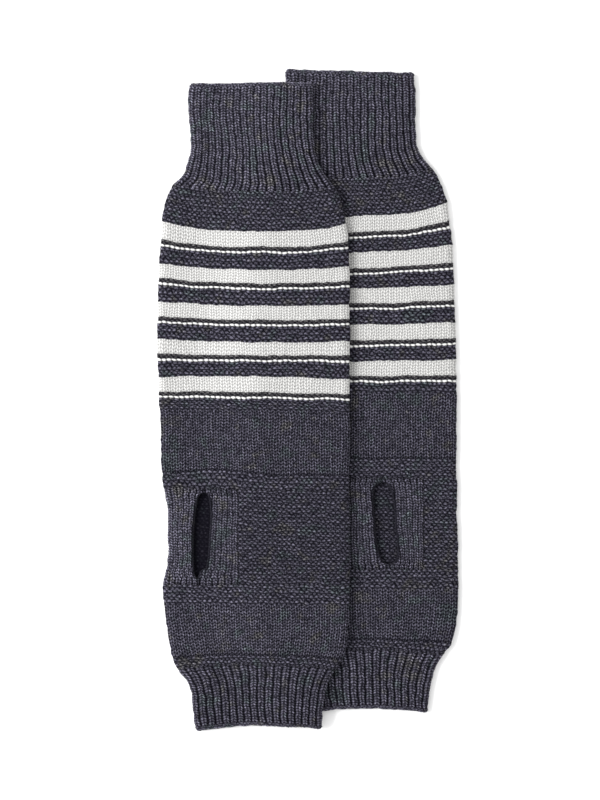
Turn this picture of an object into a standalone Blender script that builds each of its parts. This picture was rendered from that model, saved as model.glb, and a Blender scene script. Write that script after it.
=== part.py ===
# A pair of knitted leg warmers laid flat, the front one lying half over the back one.
# Metres, +Z up. +Y runs to the calf ends, +X to the back warmer's side.
# The origin is on the floor under the middle of the pair.

import math
from collections import namedtuple

import bmesh
import bpy
import numpy as np

# Knit sizes
SEAM_GAP = 0.0003           # between neighbouring pieces
LOWER_WALL = 0.0026         # the panel that lies underneath
HOLLOW = 0.0008             # left between the two panels of a flat tube
SIDE_WALL = 0.0034          # across the folded side edge
PLAIN_WALL = 0.0026
GARTER_PEAK = 0.0030
GARTER_VALLEY = 0.0023
GARTER_PITCH = 0.0037       # one garter ridge
RIB_PEAK = 0.0032
RIB_VALLEY = 0.0019
RIB_SHOULDER = 0.27         # half of a rib's flat top, as a share of the rib pitch
EDGE_ROLL = 0.0010          # how much the bound ends thin out
EDGE_ROLL_LENGTH = 0.0016

# Rounding of the folded sides, measured in from the edge
TOP_ROUND = 0.0060
FLOOR_ROUND = 0.0032
HOLLOW_ROUND = 0.0040
EDGE_STEPS = (0.0, 0.0012, 0.0045)
INNER_EDGE_STEPS = (0.0, 0.0030)

# Heights inside a flat tube that lies on the floor
HOLLOW_TOP = LOWER_WALL + HOLLOW
FOLD_HEIGHT = LOWER_WALL + HOLLOW / 2

# How the front warmer climbs on to the back one
REST_GAP = 0.0005
OVER_HEIGHT = HOLLOW_TOP + RIB_PEAK + REST_GAP
RAMP_WIDTH = 0.0550
END_RAMP_WIDTH = 0.0180     # past the back warmer's foot end
RAMP_LEAD = 0.0010          # a ramp is full this far before the back warmer's edge
RAMP_COLUMNS = 5

# Spacing of the points
COLUMN_STEP = 0.0200
COLUMN_CROWDING = 0.50      # how much closer the columns stand near the sides
PLAIN_STEP = 0.0165
SPARSE_STEP = 0.0240
PLAIN_INSET = 0.0007

# Where the warmers lie: Y of each top edge at its own centre line
FRONT_TOP = 0.2473
BACK_TOP = 0.2570

PARABOLA_BOW = 0.0030
FLAT_BOW = 0.0085

# down: distance below the top edge; centre: X of the centre line; half: half width;
# bow: how far the two sides run above the middle; tilt: how far the right side runs lower
Station = namedtuple("Station", "down centre half bow tilt")

FRONT_STATIONS = [
    Station(0.0000, -0.0433, 0.0488, 0.0000, 0.0000),
    Station(0.0055, -0.0438, 0.0493, 0.0000, 0.0000),
    Station(0.0420, -0.0433, 0.0488, 0.0008, 0.0000),
    Station(0.0555, -0.0422, 0.0496, 0.0020, 0.0004),
    Station(0.0685, -0.0413, 0.0530, 0.0035, 0.0008),
    Station(0.0790, -0.0406, 0.0579, 0.0049, 0.0013),
    Station(0.0850, -0.0416, 0.0628, 0.0055, 0.0016),
    Station(0.0950, -0.0418, 0.0678, 0.0066, 0.0016),
    Station(0.1055, -0.0415, 0.0708, 0.0073, 0.0014),
    Station(0.1160, -0.0416, 0.0726, 0.0073, 0.0013),
    Station(0.1305, -0.0411, 0.0738, 0.0057, 0.0013),
    Station(0.1455, -0.0413, 0.0748, 0.0041, 0.0013),
    Station(0.1735, -0.0416, 0.0753, 0.0026, 0.0013),
    Station(0.2015, -0.0421, 0.0761, 0.0016, 0.0009),
    Station(0.2285, -0.0415, 0.0755, -0.0008, 0.0009),
    Station(0.2560, -0.0408, 0.0747, -0.0008, 0.0012),
    Station(0.3055, -0.0402, 0.0738, 0.0000, 0.0017),
    Station(0.3175, -0.0397, 0.0732, 0.0000, 0.0016),
    Station(0.3290, -0.0382, 0.0717, 0.0000, 0.0016),
    Station(0.3540, -0.0378, 0.0714, 0.0000, 0.0016),
    Station(0.3800, -0.0382, 0.0718, 0.0000, 0.0008),
    Station(0.3915, -0.0397, 0.0733, 0.0000, 0.0004),
    Station(0.4070, -0.0396, 0.0732, -0.0004, 0.0000),
    Station(0.4250, -0.0385, 0.0712, -0.0014, 0.0000),
    Station(0.4390, -0.0383, 0.0690, -0.0025, 0.0000),
    Station(0.4460, -0.0384, 0.0667, -0.0033, 0.0000),
    Station(0.4532, -0.0393, 0.0626, -0.0039, 0.0000),
    Station(0.4620, -0.0385, 0.0562, -0.0047, 0.0000),
    Station(0.4720, -0.0383, 0.0529, -0.0047, 0.0000),
    Station(0.4850, -0.0383, 0.0518, -0.0043, 0.0000),
    Station(0.5015, -0.0371, 0.0499, -0.0035, -0.0008),
]

BACK_STATIONS = [
    Station(0.0000, 0.0333, 0.0501, 0.0000, 0.0013),
    Station(0.0150, 0.0333, 0.0509, 0.0000, 0.0008),
    Station(0.0510, 0.0335, 0.0515, 0.0012, 0.0000),
    Station(0.0620, 0.0339, 0.0520, 0.0031, 0.0000),
    Station(0.0735, 0.0351, 0.0546, 0.0055, -0.0008),
    Station(0.0840, 0.0374, 0.0595, 0.0078, -0.0012),
    Station(0.0930, 0.0387, 0.0628, 0.0086, -0.0020),
    Station(0.1035, 0.0399, 0.0652, 0.0090, -0.0027),
    Station(0.1145, 0.0410, 0.0680, 0.0090, -0.0029),
    Station(0.1285, 0.0413, 0.0702, 0.0062, -0.0026),
    Station(0.1420, 0.0413, 0.0715, 0.0039, -0.0023),
    Station(0.1700, 0.0413, 0.0732, 0.0023, -0.0012),
    Station(0.1975, 0.0414, 0.0741, 0.0016, -0.0006),
    Station(0.2265, 0.0416, 0.0745, 0.0005, -0.0008),
    Station(0.2555, 0.0417, 0.0745, 0.0000, 0.0000),
    Station(0.3180, 0.0417, 0.0745, 0.0000, 0.0000),
    Station(0.3540, 0.0421, 0.0746, 0.0000, 0.0000),
    Station(0.3890, 0.0425, 0.0748, 0.0000, 0.0000),
    Station(0.4050, 0.0428, 0.0750, 0.0000, 0.0000),
    Station(0.4245, 0.0429, 0.0739, -0.0008, 0.0000),
    Station(0.4380, 0.0433, 0.0712, -0.0023, 0.0000),
    Station(0.4440, 0.0437, 0.0686, -0.0031, 0.0000),
    Station(0.4516, 0.0436, 0.0625, -0.0047, 0.0000),
    Station(0.4600, 0.0440, 0.0565, -0.0051, 0.0000),
    Station(0.4690, 0.0444, 0.0529, -0.0047, 0.0000),
    Station(0.4830, 0.0448, 0.0502, -0.0043, 0.0000),
    Station(0.4980, 0.0456, 0.0484, -0.0035, 0.0000),
]

# knit: rib, garter, white (plain knit in white), plain (plain knit) or heel; end: distance down
Zone = namedtuple("Zone", "knit end")

FRONT_ZONES = [
    Zone("rib", 0.0850), Zone("garter", 0.1158),
    Zone("white", 0.1275), Zone("garter", 0.1455),
    Zone("white", 0.1556), Zone("garter", 0.1736),
    Zone("white", 0.1849), Zone("garter", 0.2016),
    Zone("white", 0.2118), Zone("garter", 0.2285),
    Zone("white", 0.2406), Zone("garter", 0.2558),
    Zone("plain", 0.3050), Zone("garter", 0.3175),
    Zone("heel", 0.3916), Zone("garter", 0.4072),
    Zone("plain", 0.4462), Zone("garter", 0.4532),
    Zone("rib", 0.5015),
]

BACK_ZONES = [
    Zone("rib", 0.0839), Zone("garter", 0.1143),
    Zone("white", 0.1252), Zone("garter", 0.1420),
    Zone("white", 0.1533), Zone("garter", 0.1697),
    Zone("white", 0.1806), Zone("garter", 0.1977),
    Zone("white", 0.2090), Zone("garter", 0.2262),
    Zone("white", 0.2379), Zone("garter", 0.2523),
    Zone("plain", 0.3030), Zone("garter", 0.3179),
    Zone("heel", 0.3892), Zone("garter", 0.4052),
    Zone("plain", 0.4442), Zone("garter", 0.4516),
    Zone("rib", 0.4980),
]

# ribs: on the face that shows, half of those all round; rows, under_rows: stretches that the
# face and the plain underside are divided into
Cuff = namedtuple("Cuff", "ribs rows under_rows")
CALF_CUFF = Cuff(19, 8, 5)
FOOT_CUFF = Cuff(18, 6, 6)

# left, right: X of the ribbed patch's borders, left None where it ends in the folded side;
# x, y: middle of the heel slot; reach, half: half its height and width; lean: X gained per Y
Heel = namedtuple("Heel", "left right x y reach half lean")
FRONT_HEEL = Heel(None, -0.0536, -0.0822, -0.1063, 0.0327, 0.0060, 0.050)
BACK_HEEL = Heel(0.0296, 0.0910, 0.0611, -0.0962, 0.0318, 0.0080, -0.085)
HEEL_RIBS = 4               # on each side of the slot
HEEL_ROWS = 9
SLOT_POINTS = 28
SLOT_SQUARENESS = 3.2       # 2 is an ellipse, more is squarer
CUTTER_HALF_HEIGHT = 0.0100

CHARCOAL = (0.055, 0.054, 0.071, 1.0)
OFF_WHITE = (0.716, 0.708, 0.701, 1.0)
WOOL_ROUGHNESS = 0.92


# Interpolates a table with a smooth curve through its rows (cubic, slopes from neighbours).
def smooth(table_x, table_y, x):
    slopes = np.gradient(table_y, table_x)
    i = np.clip(np.searchsorted(table_x, x) - 1, 0, len(table_x) - 2)
    step = table_x[i + 1] - table_x[i]
    u = np.clip((x - table_x[i]) / step, 0.0, 1.0)
    start = (1 + 2 * u) * (1 - u) ** 2 * table_y[i] + u * (1 - u) ** 2 * step * slopes[i]
    finish = u * u * (3 - 2 * u) * table_y[i + 1] + u * u * (u - 1) * step * slopes[i + 1]
    return start + finish


def smoothstep(u):
    u = np.clip(u, 0.0, 1.0)
    return u * u * (3 - 2 * u)


# Height of a quarter ellipse, 0 at the edge and 1 from the distance reach inwards.
def arch(distance, reach):
    u = 1 - np.clip(distance / reach, 0.0, 1.0)
    return np.sqrt(1 - u * u)


# One warmer: its outline along the leg, its knit zones and what it lies on.
class Warmer:
    def __init__(self, name, top, stations, zones, heel, under=None):
        self.name = name
        self.top = top
        self.table = {field: np.array([getattr(row, field) for row in stations])
                      for field in Station._fields}
        self.zones = zones
        self.heel = heel
        self.under = under
        self.length = zones[-1].end

    def at(self, field, down):
        return smooth(self.table["down"], self.table[field], np.asarray(down, dtype=float))

    # A small bow is a parabola, a big one stays flat in the middle and rises near the sides
    def y_of(self, down, q):
        bow = self.at("bow", down)
        flat = np.clip((bow - PARABOLA_BOW) / (FLAT_BOW - PARABOLA_BOW), 0.0, 1.0)
        rise = (1 - flat) * q ** 2 + flat * q ** 4
        return self.top - down + bow * rise - self.at("tilt", down) * q

    # X of the left outline at each world Y
    def left_edge(self, y):
        down = np.linspace(self.length, 0.0, 200)
        edge = self.at("centre", down) - self.at("half", down)
        return np.interp(y, self.y_of(down, -1.0), edge)

    # Height of the surface that the warmer lies on
    def base(self, x, y):
        if self.under is None:
            return np.zeros_like(x)
        full = self.under.left_edge(y) - RAMP_LEAD
        across = smoothstep((x - full + RAMP_WIDTH) / RAMP_WIDTH)
        end = self.under.y_of(self.under.length, 1.0) - RAMP_LEAD
        along = smoothstep((y - end + END_RAMP_WIDTH) / END_RAMP_WIDTH)
        return OVER_HEIGHT * across * along

    # X of the columns that follow the climb on to the other warmer
    def ramp_columns(self, down):
        if self.under is None:
            return []
        full = self.under.left_edge(self.top - down) - RAMP_LEAD
        shares = np.linspace(-1.0, 0.0, RAMP_COLUMNS + 1)
        return [full + share * RAMP_WIDTH for share in shares]


# Points of a flat tube's section. t runs round it: -1 to 1 is the upper panel from left to
# right, 1 to 3 the lower panel back to the left, and 3 to 5 the upper panel once more.
def section_points(warmer, layer, t, down, wall, fold):
    lower = (t > 1) & (t < 3)
    q = np.where(t >= 3, t - 4, np.where(lower, 2 - t, t))
    full_half = warmer.at("half", down)
    half = full_half - (SIDE_WALL if layer == "inner" else 0.0)
    x = warmer.at("centre", down) + q * half
    y = warmer.y_of(down, q * half / full_half)
    edge = (1 - np.abs(q)) * half
    if layer == "outer":
        above = fold + (HOLLOW_TOP + wall - fold) * arch(edge, TOP_ROUND)
        below = fold - fold * arch(edge, FLOOR_ROUND)
    else:
        above = fold + (HOLLOW_TOP - fold) * arch(edge, HOLLOW_ROUND)
        below = fold - (fold - LOWER_WALL) * arch(edge, HOLLOW_ROUND)
    z = np.where(lower, below, above) + warmer.base(x, y)
    return np.stack([x, y, z], axis=-1)


# Columns of q across a panel, one array for each; gaps wider than the step are divided.
def panel_columns(warmer, down, layer, left=None, right=None):
    half = warmer.at("half", down) - (SIDE_WALL if layer == "inner" else 0.0)
    centre = warmer.at("centre", down)
    steps = EDGE_STEPS if layer == "outer" else INNER_EDGE_STEPS
    if left is None:
        start = [centre - half + step for step in steps]
    else:
        start = [np.full_like(down, left)]
    if right is None:
        stop = [centre + half - step for step in reversed(steps)]
    else:
        stop = [np.full_like(down, right)]
    clear = COLUMN_STEP / 8
    ramp = [x for x in warmer.ramp_columns(down)
            if np.all(x > start[-1] + clear) and np.all(x < stop[0] - clear)]
    marks = start + ramp + stop
    columns = [marks[0]]
    for k, (a, b) in enumerate(zip(marks, marks[1:])):
        count = max(1, math.ceil(float(np.max(b - a)) / COLUMN_STEP))
        shares = np.arange(1, count + 1) / count
        after_start = k < len(start)
        before_stop = k >= len(marks) - 1 - len(stop)
        if after_start and before_stop:
            shares -= COLUMN_CROWDING * np.sin(2 * math.pi * shares) / (2 * math.pi)
        elif after_start:
            shares = shares ** (1 + COLUMN_CROWDING)
        elif before_stop:
            shares = 1 - (1 - shares) ** (1 + COLUMN_CROWDING)
        columns += [a + (b - a) * share for share in shares]
    return np.clip((np.stack(columns, axis=1) - centre[:, None]) / half[:, None], -1.0, 1.0)


# Rows of a stretch of knit as (down, wall): ridges for garter, a flat face for plain knit.
def knit_rows(zones, start, end):
    rows = []
    zone_start = 0.0
    for zone in zones:
        a = max(zone_start, start)
        b = min(zone.end, end)
        zone_start = zone.end
        if b - a < 0.5 * GARTER_PITCH:
            continue
        if zone.knit in ("garter", "heel"):
            count = round((b - a) / GARTER_PITCH)
            pitch = (b - a) / count
            for k in range(count):
                rows.append((a + k * pitch, GARTER_VALLEY))
                rows.append((a + (k + 0.5) * pitch, GARTER_PEAK))
            rows.append((b, GARTER_VALLEY))
        else:
            count = math.ceil((b - a) / PLAIN_STEP)
            step = (b - a - 2 * PLAIN_INSET) / count
            rows += [(a + PLAIN_INSET + k * step, PLAIN_WALL) for k in range(count + 1)]
    downs = sorted({round(down, 6): wall for down, wall in rows}.items())
    downs[0] = (start + SEAM_GAP / 2, downs[0][1])
    downs[-1] = (end - SEAM_GAP / 2, downs[-1][1])
    return np.array(downs)


# Rows between the marks, a few more where they lie far apart, for the inside and underside.
def sparse_rows(marks):
    rows = []
    for a, b in zip(marks, marks[1:]):
        count = max(1, math.ceil((b - a) / SPARSE_STEP))
        rows += [a + (b - a) * k / count for k in range(count)]
    rows.append(marks[-1])
    rows[0] += SEAM_GAP / 2
    rows[-1] -= SEAM_GAP / 2
    return np.array(rows)


# Collects grids and the strips between them into one closed mesh.
class Loft:
    def __init__(self):
        self.points = []
        self.faces = []
        self.white = []

    def grid(self, points, rows, zones=None):
        count = sum(len(block) for block in self.points)
        index = np.arange(points.shape[0] * points.shape[1]).reshape(points.shape[:2]) + count
        self.points.append(points.reshape(-1, 3))
        for r in range(points.shape[0] - 1):
            place = (rows[r] + rows[r + 1]) / 2
            is_white = zones is not None and knit_at(zones, place) == "white"
            for c in range(points.shape[1] - 1):
                self.faces.append((index[r, c], index[r, c + 1], index[r + 1, c + 1],
                                   index[r + 1, c]))
                self.white.append(is_white)
        return index

    # Joins two rows of points that run side by side, whatever their counts.
    def zip_rows(self, first, first_place, second, second_place, zones=None):
        i = j = 0
        while i < len(first) - 1 or j < len(second) - 1:
            step_first = j == len(second) - 1 or (
                i < len(first) - 1 and first_place[i + 1] <= second_place[j + 1])
            if step_first:
                corner = (first[i], first[i + 1], second[j])
                place = (first_place[i] + first_place[i + 1]) / 2
                i += 1
            else:
                corner = (first[i], second[j + 1], second[j])
                place = (second_place[j] + second_place[j + 1]) / 2
                j += 1
            if len(set(corner)) == 3:
                self.faces.append(corner)
                self.white.append(zones is not None and knit_at(zones, place) == "white")

    def build(self, name, materials, collection):
        mesh = bpy.data.meshes.new(name)
        mesh.from_pydata(np.concatenate(self.points).tolist(), [],
                         [tuple(int(i) for i in face) for face in self.faces])
        for material in materials:
            mesh.materials.append(material)
        for polygon, is_white in zip(mesh.polygons, self.white):
            polygon.material_index = int(is_white and len(materials) > 1)
        shaped = bmesh.new()
        shaped.from_mesh(mesh)
        bmesh.ops.recalc_face_normals(shaped, faces=shaped.faces)
        shaped.to_mesh(mesh)
        shaped.free()
        part = bpy.data.objects.new(name, mesh)
        collection.objects.link(part)
        return part


def knit_at(zones, down):
    for zone in zones:
        if down < zone.end:
            return zone.knit
    return zones[-1].knit


# Closes a piece between its outer and inner grids. Both lists run along t.
def close_ends(loft, outer, inner, ring):
    for row in (0, -1):
        out_index = np.concatenate([index[row] for index, _, _ in outer])
        out_place = np.concatenate([t[row] for _, t, _ in outer])
        in_index = np.concatenate([index[row] for index, _, _ in inner])
        in_place = np.concatenate([t[row] for _, t, _ in inner])
        if ring:
            out_index = np.append(out_index, out_index[0])
            out_place = np.append(out_place, 3.0)
            in_index = np.append(in_index, in_index[0])
            in_place = np.append(in_place, 3.0)
        loft.zip_rows(out_index, out_place, in_index, in_place)
    if not ring:
        for side in (0, -1):
            out_grid, _, out_rows = outer[side]
            in_grid, _, in_rows = inner[side]
            loft.zip_rows(out_grid[:, side], out_rows, in_grid[:, side], in_rows)


# Joins neighbouring grids of one layer along their shared side.
def join_grids(loft, grids, ring, zones):
    pairs = list(zip(grids, grids[1:]))
    if ring:
        pairs.append((grids[-1], grids[0]))
    for (a, _, a_rows), (b, _, b_rows) in pairs:
        loft.zip_rows(a[:, -1], a_rows, b[:, 0], b_rows, zones)


# One layer of a tube piece as grids along t: the upper panel right of a patch, the lower
# panel, and the upper panel left of the patch. Without a patch it is one full upper panel.
def tube_layer(loft, warmer, layer, upper_rows, upper_wall, lower_rows, rib_q, patch, fold):
    grids = []
    zones = warmer.zones if layer == "outer" else None

    def add(t, rows, wall):
        points = section_points(warmer, layer, t, rows[:, None], wall, fold)
        grids.append((loft.grid(points, rows, zones), t, rows))

    if rib_q is not None:
        add(np.tile(rib_q, (len(upper_rows), 1)), upper_rows, upper_wall)
    else:
        left = patch.right + SEAM_GAP / 2 if patch else None
        add(panel_columns(warmer, upper_rows, layer, left=left), upper_rows, upper_wall)
    lower = 2 - panel_columns(warmer, lower_rows, layer)[:, ::-1]
    if patch and patch.left is None:
        add(lower[:, 1:], lower_rows, 0.0)
    else:
        add(lower[:, 1:-1], lower_rows, 0.0)
    if patch and patch.left is not None:
        right = patch.left - SEAM_GAP / 2
        side = 4 + panel_columns(warmer, upper_rows, layer, right=right)
        add(side, upper_rows, upper_wall)
    join_grids(loft, grids, patch is None, zones)
    return grids


# A stretch of flat tube, plain or with garter ridges, whole or open where a patch goes.
def tube_piece(warmer, name, start, end, materials, collection, patch=None):
    rows, walls = knit_rows(warmer.zones, start, end).T
    changes = [zone.end for zone in warmer.zones if start < zone.end < end]
    under_rows = sparse_rows([start] + changes + [end])
    inner_rows = sparse_rows([start, end])
    fold = FOLD_HEIGHT - SEAM_GAP / 2 if patch and patch.left is None else FOLD_HEIGHT
    loft = Loft()
    outer = tube_layer(loft, warmer, "outer", rows, walls[:, None], under_rows, None, patch, fold)
    inner = tube_layer(loft, warmer, "inner", inner_rows, 0.0, inner_rows, None, patch, fold)
    close_ends(loft, outer, inner, patch is None)
    return loft.build(f"{warmer.name}_{name}", materials, collection)


# Columns of q and walls of a row of ribs: a groove, then the two shoulders of each rib.
def rib_columns(count, start, end):
    q = []
    wall = []
    pitch = (end - start) / count
    for k in range(count):
        middle = start + (k + 0.5) * pitch
        q += [start + k * pitch, middle - RIB_SHOULDER * pitch, middle + RIB_SHOULDER * pitch]
        wall += [RIB_VALLEY, RIB_PEAK, RIB_PEAK]
    return np.array(q + [end]), np.array(wall + [RIB_VALLEY])


# A ribbed cuff. open_end is the distance down of its bound edge, which thins out.
def cuff_piece(warmer, name, start, end, cuff, open_end, materials, collection):
    if open_end == start:
        end -= SEAM_GAP / 2
        roll_at = start + EDGE_ROLL_LENGTH
    else:
        start += SEAM_GAP / 2
        roll_at = end - EDGE_ROLL_LENGTH
    rows = np.sort(np.append(np.linspace(start, end, cuff.rows + 1), roll_at))
    under_rows = np.linspace(start, end, cuff.under_rows + 1)
    q, wall = rib_columns(cuff.ribs, -1.0, 1.0)
    roll = np.where(np.isclose(rows, open_end), EDGE_ROLL, 0.0)
    walls = wall[None, :] - roll[:, None]
    loft = Loft()
    outer = tube_layer(loft, warmer, "outer", rows, walls, under_rows, q, None, FOLD_HEIGHT)
    inner = tube_layer(loft, warmer, "inner", under_rows, 0.0, under_rows, None, None, FOLD_HEIGHT)
    close_ends(loft, outer, inner, True)
    return loft.build(f"{warmer.name}_{name}", materials, collection)


# Columns of q and walls of the patch: ribs left of the slot, one rib that the slot takes
# away but for its ends, and ribs right of it. They follow the slot's lean.
def patch_columns(warmer, rows, layer):
    heel = warmer.heel
    half = warmer.at("half", rows) - (SIDE_WALL if layer == "inner" else 0.0)
    centre = warmer.at("centre", rows)
    slot = heel.x + heel.lean * (warmer.top - rows - heel.y)
    left = centre - half if heel.left is None else np.full_like(rows, heel.left + SEAM_GAP / 2)
    right = np.full_like(rows, heel.right - SEAM_GAP / 2)
    marks = [left, slot - heel.half, slot + heel.half, right]
    columns = [left]
    walls = [RIB_VALLEY]
    for a, b, ribs in zip(marks, marks[1:], (HEEL_RIBS, 1, HEEL_RIBS)):
        share, wall = rib_columns(ribs, 0.0, 1.0)
        if layer == "inner":
            share = share[::3]
            wall = wall[::3]
        columns += [a + (b - a) * part for part in share[1:]]
        walls += list(wall[1:])
    q = (np.stack(columns, axis=1) - centre[:, None]) / half[:, None]
    return np.clip(q, -1.0, 1.0), np.array(walls)


# The ribbed patch round the heel slot, part of the upper panel.
def heel_patch(warmer, name, start, end, materials, collection):
    rows = np.linspace(start + SEAM_GAP / 2, end - SEAM_GAP / 2, HEEL_ROWS + 1)
    fold = FOLD_HEIGHT + SEAM_GAP / 2
    loft = Loft()
    layers = {}
    for layer in ("outer", "inner"):
        t, wall = patch_columns(warmer, rows, layer)
        points = section_points(warmer, layer, t, rows[:, None], wall, fold)
        layers[layer] = [(loft.grid(points, rows), t, rows)]
    close_ends(loft, layers["outer"], layers["inner"], False)
    return loft.build(f"{warmer.name}_{name}", materials, collection)


# Outline of a heel slot: a leaning superellipse, as a flat curve made thick and then a mesh.
def slot_cutter(warmer, collection):
    heel = warmer.heel
    curve = bpy.data.curves.new(f"{warmer.name}_slot_outline", "CURVE")
    curve.dimensions = "2D"
    curve.fill_mode = "BOTH"
    curve.extrude = CUTTER_HALF_HEIGHT
    spline = curve.splines.new("POLY")
    spline.points.add(SLOT_POINTS - 1)
    spline.use_cyclic_u = True
    for k, point in enumerate(spline.points):
        angle = 2 * math.pi * k / SLOT_POINTS
        c = math.cos(angle)
        s = math.sin(angle)
        across = math.copysign(abs(c) ** (2 / SLOT_SQUARENESS), c) * heel.half
        along = math.copysign(abs(s) ** (2 / SLOT_SQUARENESS), s) * heel.reach
        point.co = (across + heel.lean * along, along, 0.0, 1.0)
    outline = bpy.data.objects.new(curve.name, curve)
    outline.location = (heel.x, heel.y, 0.0)
    collection.objects.link(outline)
    bpy.context.view_layer.update()
    evaluated = outline.evaluated_get(bpy.context.evaluated_depsgraph_get())
    mesh = bpy.data.meshes.new_from_object(evaluated)
    welded = bmesh.new()
    welded.from_mesh(mesh)
    bmesh.ops.remove_doubles(welded, verts=welded.verts, dist=0.00001)
    bmesh.ops.recalc_face_normals(welded, faces=welded.faces)
    welded.to_mesh(mesh)
    welded.free()
    cutter = bpy.data.objects.new(f"{warmer.name}_slot_cutter", mesh)
    cutter.matrix_world = outline.matrix_world
    cutter.hide_render = True
    cutter.display_type = "WIRE"
    collection.objects.link(cutter)
    bpy.data.objects.remove(outline)
    return cutter


def cut(part, cutter):
    modifier = part.modifiers.new("heel slot", "BOOLEAN")
    modifier.operation = "DIFFERENCE"
    modifier.object = cutter


def wool(name, colour):
    material = bpy.data.materials.new(name)
    material.use_nodes = True
    material.diffuse_color = colour
    shader = material.node_tree.nodes["Principled BSDF"]
    shader.inputs["Base Color"].default_value = colour
    shader.inputs["Roughness"].default_value = WOOL_ROUGHNESS
    shader.inputs["Metallic"].default_value = 0.0
    return material


def new_collection(name):
    collection = bpy.data.collections.new(name)
    bpy.context.scene.collection.children.link(collection)
    return collection


# All six pieces of one warmer, from the calf end to the foot end.
def make_warmer(warmer, collection, cutters):
    def yarn(part):
        return wool(f"{warmer.name} {part} yarn", CHARCOAL)

    cuff_end = warmer.zones[0].end
    heel_at = [zone.knit for zone in warmer.zones].index("heel")
    heel_start = warmer.zones[heel_at - 1].end
    heel_end = warmer.zones[heel_at].end
    foot_end = warmer.zones[-2].end
    white = wool(f"{warmer.name} stripe yarn", OFF_WHITE)
    cuff_piece(warmer, "calf_cuff", 0.0, cuff_end, CALF_CUFF, 0.0, [yarn("calf cuff")],
               collection)
    tube_piece(warmer, "leg", cuff_end, heel_start, [yarn("leg"), white], collection)
    tube_piece(warmer, "heel_wall", heel_start, heel_end, [yarn("heel wall")], collection,
               patch=warmer.heel)
    patch = heel_patch(warmer, "heel_rib", heel_start, heel_end, [yarn("heel rib")], collection)
    cut(patch, slot_cutter(warmer, cutters))
    tube_piece(warmer, "foot", heel_end, foot_end, [yarn("foot")], collection)
    cuff_piece(warmer, "foot_cuff", foot_end, warmer.length, FOOT_CUFF, warmer.length,
               [yarn("foot cuff")], collection)


def main():
    for old in list(bpy.data.objects):
        bpy.data.objects.remove(old)
    parts = new_collection("leg warmers")
    cutters = new_collection("cutters")
    back = Warmer("back", BACK_TOP, BACK_STATIONS, BACK_ZONES, BACK_HEEL)
    front = Warmer("front", FRONT_TOP, FRONT_STATIONS, FRONT_ZONES, FRONT_HEEL, under=back)
    make_warmer(back, parts, cutters)
    make_warmer(front, parts, cutters)


main()
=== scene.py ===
# Looks of a pair of knitted leg warmers laid flat, the front one lying half over the back one.
# Metres, +Z up. +Y runs to the calf ends, +X to the back warmer's side.

import math

import bpy
import numpy as np
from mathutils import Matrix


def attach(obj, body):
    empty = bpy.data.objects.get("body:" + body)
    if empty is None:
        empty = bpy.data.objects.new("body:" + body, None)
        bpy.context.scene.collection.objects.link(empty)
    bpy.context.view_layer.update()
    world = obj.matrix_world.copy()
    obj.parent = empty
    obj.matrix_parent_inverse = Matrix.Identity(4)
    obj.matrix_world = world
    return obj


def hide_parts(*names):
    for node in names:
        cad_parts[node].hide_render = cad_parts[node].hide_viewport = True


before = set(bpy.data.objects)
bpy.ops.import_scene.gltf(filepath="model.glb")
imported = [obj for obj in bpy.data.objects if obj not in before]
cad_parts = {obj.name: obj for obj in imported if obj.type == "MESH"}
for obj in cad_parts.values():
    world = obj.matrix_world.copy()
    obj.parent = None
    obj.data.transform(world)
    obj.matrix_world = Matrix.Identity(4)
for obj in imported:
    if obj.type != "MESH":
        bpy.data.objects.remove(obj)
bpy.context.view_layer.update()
print("frame loaded:", len(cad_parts), "nodes")

# Sizes of the flat tubes, as in the solids
form = {
    "lowerWall": 0.0026,  # the panel that lies underneath
    "hollow": 0.0008,  # left between the two panels
    "sideWall": 0.0034,  # cloth from a folded side to the hollow
    "topRound": 0.0060,  # rounding of the folds, measured in from the side
    "floorRound": 0.0032,
    "hollowRound": 0.0040,
    "valleyWall": 0.0019,  # the upper panel where the stitches are deepest
    "underRelief": 0.0010,  # depth of the stitches on the underside
    "foldInset": 0.0008,  # room for the stitches beside the folds
    "restHeight": 0.0071,  # the front warmer's underside where it lies on the back one
    "rampWidth": 0.0550,  # where it climbs onto the back one, and the same at its foot end
    "endRampWidth": 0.0180,
    "rampLead": 0.0010,  # the climb ends this much before the back warmer's edge
    "pieceGap": 0.0001,  # in the groove between two rows of stitches
    "parabolaBow": 0.0030,  # a row bowed this much is a parabola
    "flatBow": 0.0085,  # one bowed this much is flat in the middle
    "cornerRound": 0.0030,  # of a cuff's corners, seen from above
    "arcSteps": 80,  # points at which a fold's arc and a warmer's side are worked out
    "sideSteps": 200,
}
form["hollowTop"] = form["lowerWall"] + form["hollow"]
form["fold"] = form["lowerWall"] + form["hollow"] / 2

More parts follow.
